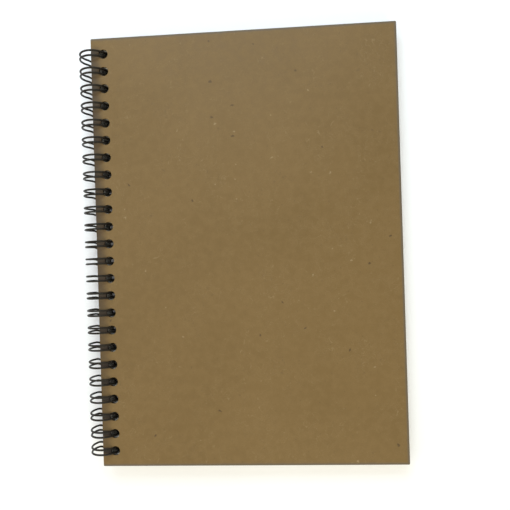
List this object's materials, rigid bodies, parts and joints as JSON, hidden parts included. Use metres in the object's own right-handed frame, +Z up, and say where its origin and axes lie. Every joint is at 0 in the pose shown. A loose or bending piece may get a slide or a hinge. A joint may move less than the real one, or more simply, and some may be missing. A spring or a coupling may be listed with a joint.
{
  "type": "sketchbook",
  "caption": "Wire-bound A5 sketchbook with plain brown board covers and a pile of drawing sheets that turn on a black twin-loop wire along the spine.",
  "frame": {"origin": "middle of the closed book's bounding box, at the height of the lowest point of the binding wire", "axes": "+X from the binding towards the fore edge, +Y along the spine towards the head, +Z up through the front cover"},
  "size_m": [0.1552, 0.21, 0.0144],
  "materials": {
    "kraft_board": "matt uncoated brown board with fine fibres",
    "drawing_paper": "matt off-white paper with a fine tooth",
    "coated_wire": "satin black coating on steel wire"
  },
  "bodies": {
    "back_cover": {"back_cover": "kraft_board"},
    "binding_wire": {"binding_wire": "coated_wire"},
    "sheet_30": {"sheet_30": "drawing_paper"},
    "sheet_29": {"sheet_29": "drawing_paper"},
    "sheet_28": {"sheet_28": "drawing_paper"},
    "sheet_27": {"sheet_27": "drawing_paper"},
    "sheet_26": {"sheet_26": "drawing_paper"},
    "sheet_25": {"sheet_25": "drawing_paper"},
    "sheet_24": {"sheet_24": "drawing_paper"},
    "sheet_23": {"sheet_23": "drawing_paper"},
    "sheet_22": {"sheet_22": "drawing_paper"},
    "sheet_21": {"sheet_21": "drawing_paper"},
    "sheet_20": {"sheet_20": "drawing_paper"},
    "sheet_19": {"sheet_19": "drawing_paper"},
    "sheet_18": {"sheet_18": "drawing_paper"},
    "sheet_17": {"sheet_17": "drawing_paper"},
    "sheet_16": {"sheet_16": "drawing_paper"},
    "sheet_15": {"sheet_15": "drawing_paper"},
    "sheet_14": {"sheet_14": "drawing_paper"},
    "sheet_13": {"sheet_13": "drawing_paper"},
    "sheet_12": {"sheet_12": "drawing_paper"},
    "sheet_11": {"sheet_11": "drawing_paper"},
    "sheet_10": {"sheet_10": "drawing_paper"},
    "sheet_09": {"sheet_09": "drawing_paper"},
    "sheet_08": {"sheet_08": "drawing_paper"},
    "sheet_07": {"sheet_07": "drawing_paper"},
    "sheet_06": {"sheet_06": "drawing_paper"},
    "sheet_05": {"sheet_05": "drawing_paper"},
    "sheet_04": {"sheet_04": "drawing_paper"},
    "sheet_03": {"sheet_03": "drawing_paper"},
    "sheet_02": {"sheet_02": "drawing_paper"},
    "sheet_01": {"sheet_01": "drawing_paper"},
    "front_cover": {"front_cover": "kraft_board"}
  },
  "joints": [
    {"name": "wire_turn", "type": "hinge", "parent": "back_cover", "child": "binding_wire", "pos_m": [-0.07045, 0, 0.00726], "axis": [0, -1, 0], "range_deg": [-30, 30]},
    {"name": "front_cover_turn", "type": "hinge", "parent": "sheet_01", "child": "front_cover", "pos_m": [-0.07045, 0, 0.00726], "axis": [0, -1, 0], "range_deg": [0, 180]},
    {"name": "sheet_01_turn", "type": "hinge", "parent": "sheet_02", "child": "sheet_01", "pos_m": [-0.07045, 0, 0.00726], "axis": [0, -1, 0], "range_deg": [0, 180]},
    {"name": "sheet_02_turn", "type": "hinge", "parent": "sheet_03", "child": "sheet_02", "pos_m": [-0.07045, 0, 0.00726], "axis": [0, -1, 0], "range_deg": [0, 180]},
    {"name": "sheet_03_turn", "type": "hinge", "parent": "sheet_04", "child": "sheet_03", "pos_m": [-0.07045, 0, 0.00726], "axis": [0, -1, 0], "range_deg": [0, 180]},
    {"name": "sheet_04_turn", "type": "hinge", "parent": "sheet_05", "child": "sheet_04", "pos_m": [-0.07045, 0, 0.00726], "axis": [0, -1, 0], "range_deg": [0, 180]},
    {"name": "sheet_05_turn", "type": "hinge", "parent": "sheet_06", "child": "sheet_05", "pos_m": [-0.07045, 0, 0.00726], "axis": [0, -1, 0], "range_deg": [0, 180]},
    {"name": "sheet_06_turn", "type": "hinge", "parent": "sheet_07", "child": "sheet_06", "pos_m": [-0.07045, 0, 0.00726], "axis": [0, -1, 0], "range_deg": [0, 180]},
    {"name": "sheet_07_turn", "type": "hinge", "parent": "sheet_08", "child": "sheet_07", "pos_m": [-0.07045, 0, 0.00726], "axis": [0, -1, 0], "range_deg": [0, 180]},
    {"name": "sheet_08_turn", "type": "hinge", "parent": "sheet_09", "child": "sheet_08", "pos_m": [-0.07045, 0, 0.00726], "axis": [0, -1, 0], "range_deg": [0, 180]},
    {"name": "sheet_09_turn", "type": "hinge", "parent": "sheet_10", "child": "sheet_09", "pos_m": [-0.07045, 0, 0.00726], "axis": [0, -1, 0], "range_deg": [0, 180]},
    {"name": "sheet_10_turn", "type": "hinge", "parent": "sheet_11", "child": "sheet_10", "pos_m": [-0.07045, 0, 0.00726], "axis": [0, -1, 0], "range_deg": [0, 180]},
    {"name": "sheet_11_turn", "type": "hinge", "parent": "sheet_12", "child": "sheet_11", "pos_m": [-0.07045, 0, 0.00726], "axis": [0, -1, 0], "range_deg": [0, 180]},
    {"name": "sheet_12_turn", "type": "hinge", "parent": "sheet_13", "child": "sheet_12", "pos_m": [-0.07045, 0, 0.00726], "axis": [0, -1, 0], "range_deg": [0, 180]},
    {"name": "sheet_13_turn", "type": "hinge", "parent": "sheet_14", "child": "sheet_13", "pos_m": [-0.07045, 0, 0.00726], "axis": [0, -1, 0], "range_deg": [0, 180]},
    {"name": "sheet_14_turn", "type": "hinge", "parent": "sheet_15", "child": "sheet_14", "pos_m": [-0.07045, 0, 0.00726], "axis": [0, -1, 0], "range_deg": [0, 180]},
    {"name": "sheet_15_turn", "type": "hinge", "parent": "sheet_16", "child": "sheet_15", "pos_m": [-0.07045, 0, 0.00726], "axis": [0, -1, 0], "range_deg": [0, 180]},
    {"name": "sheet_16_turn", "type": "hinge", "parent": "sheet_17", "child": "sheet_16", "pos_m": [-0.07045, 0, 0.00726], "axis": [0, -1, 0], "range_deg": [0, 180]},
    {"name": "sheet_17_turn", "type": "hinge", "parent": "sheet_18", "child": "sheet_17", "pos_m": [-0.07045, 0, 0.00726], "axis": [0, -1, 0], "range_deg": [0, 180]},
    {"name": "sheet_18_turn", "type": "hinge", "parent": "sheet_19", "child": "sheet_18", "pos_m": [-0.07045, 0, 0.00726], "axis": [0, -1, 0], "range_deg": [0, 180]},
    {"name": "sheet_19_turn", "type": "hinge", "parent": "sheet_20", "child": "sheet_19", "pos_m": [-0.07045, 0, 0.00726], "axis": [0, -1, 0], "range_deg": [0, 180]},
    {"name": "sheet_20_turn", "type": "hinge", "parent": "sheet_21", "child": "sheet_20", "pos_m": [-0.07045, 0, 0.00726], "axis": [0, -1, 0], "range_deg": [0, 180]},
    {"name": "sheet_21_turn", "type": "hinge", "parent": "sheet_22", "child": "sheet_21", "pos_m": [-0.07045, 0, 0.00726], "axis": [0, -1, 0], "range_deg": [0, 180]},
    {"name": "sheet_22_turn", "type": "hinge", "parent": "sheet_23", "child": "sheet_22", "pos_m": [-0.07045, 0, 0.00726], "axis": [0, -1, 0], "range_deg": [0, 180]},
    {"name": "sheet_23_turn", "type": "hinge", "parent": "sheet_24", "child": "sheet_23", "pos_m": [-0.07045, 0, 0.00726], "axis": [0, -1, 0], "range_deg": [0, 180]},
    {"name": "sheet_24_turn", "type": "hinge", "parent": "sheet_25", "child": "sheet_24", "pos_m": [-0.07045, 0, 0.00726], "axis": [0, -1, 0], "range_deg": [0, 180]},
    {"name": "sheet_25_turn", "type": "hinge", "parent": "sheet_26", "child": "sheet_25", "pos_m": [-0.07045, 0, 0.00726], "axis": [0, -1, 0], "range_deg": [0, 180]},
    {"name": "sheet_26_turn", "type": "hinge", "parent": "sheet_27", "child": "sheet_26", "pos_m": [-0.07045, 0, 0.00726], "axis": [0, -1, 0], "range_deg": [0, 180]},
    {"name": "sheet_27_turn", "type": "hinge", "parent": "sheet_28", "child": "sheet_27", "pos_m": [-0.07045, 0, 0.00726], "axis": [0, -1, 0], "range_deg": [0, 180]},
    {"name": "sheet_28_turn", "type": "hinge", "parent": "sheet_29", "child": "sheet_28", "pos_m": [-0.07045, 0, 0.00726], "axis": [0, -1, 0], "range_deg": [0, 180]},
    {"name": "sheet_29_turn", "type": "hinge", "parent": "sheet_30", "child": "sheet_29", "pos_m": [-0.07045, 0, 0.00726], "axis": [0, -1, 0], "range_deg": [0, 180]},
    {"name": "sheet_30_turn", "type": "hinge", "parent": "back_cover", "child": "sheet_30", "pos_m": [-0.07045, 0, 0.00726], "axis": [0, -1, 0], "range_deg": [0, 180]}
  ]
}
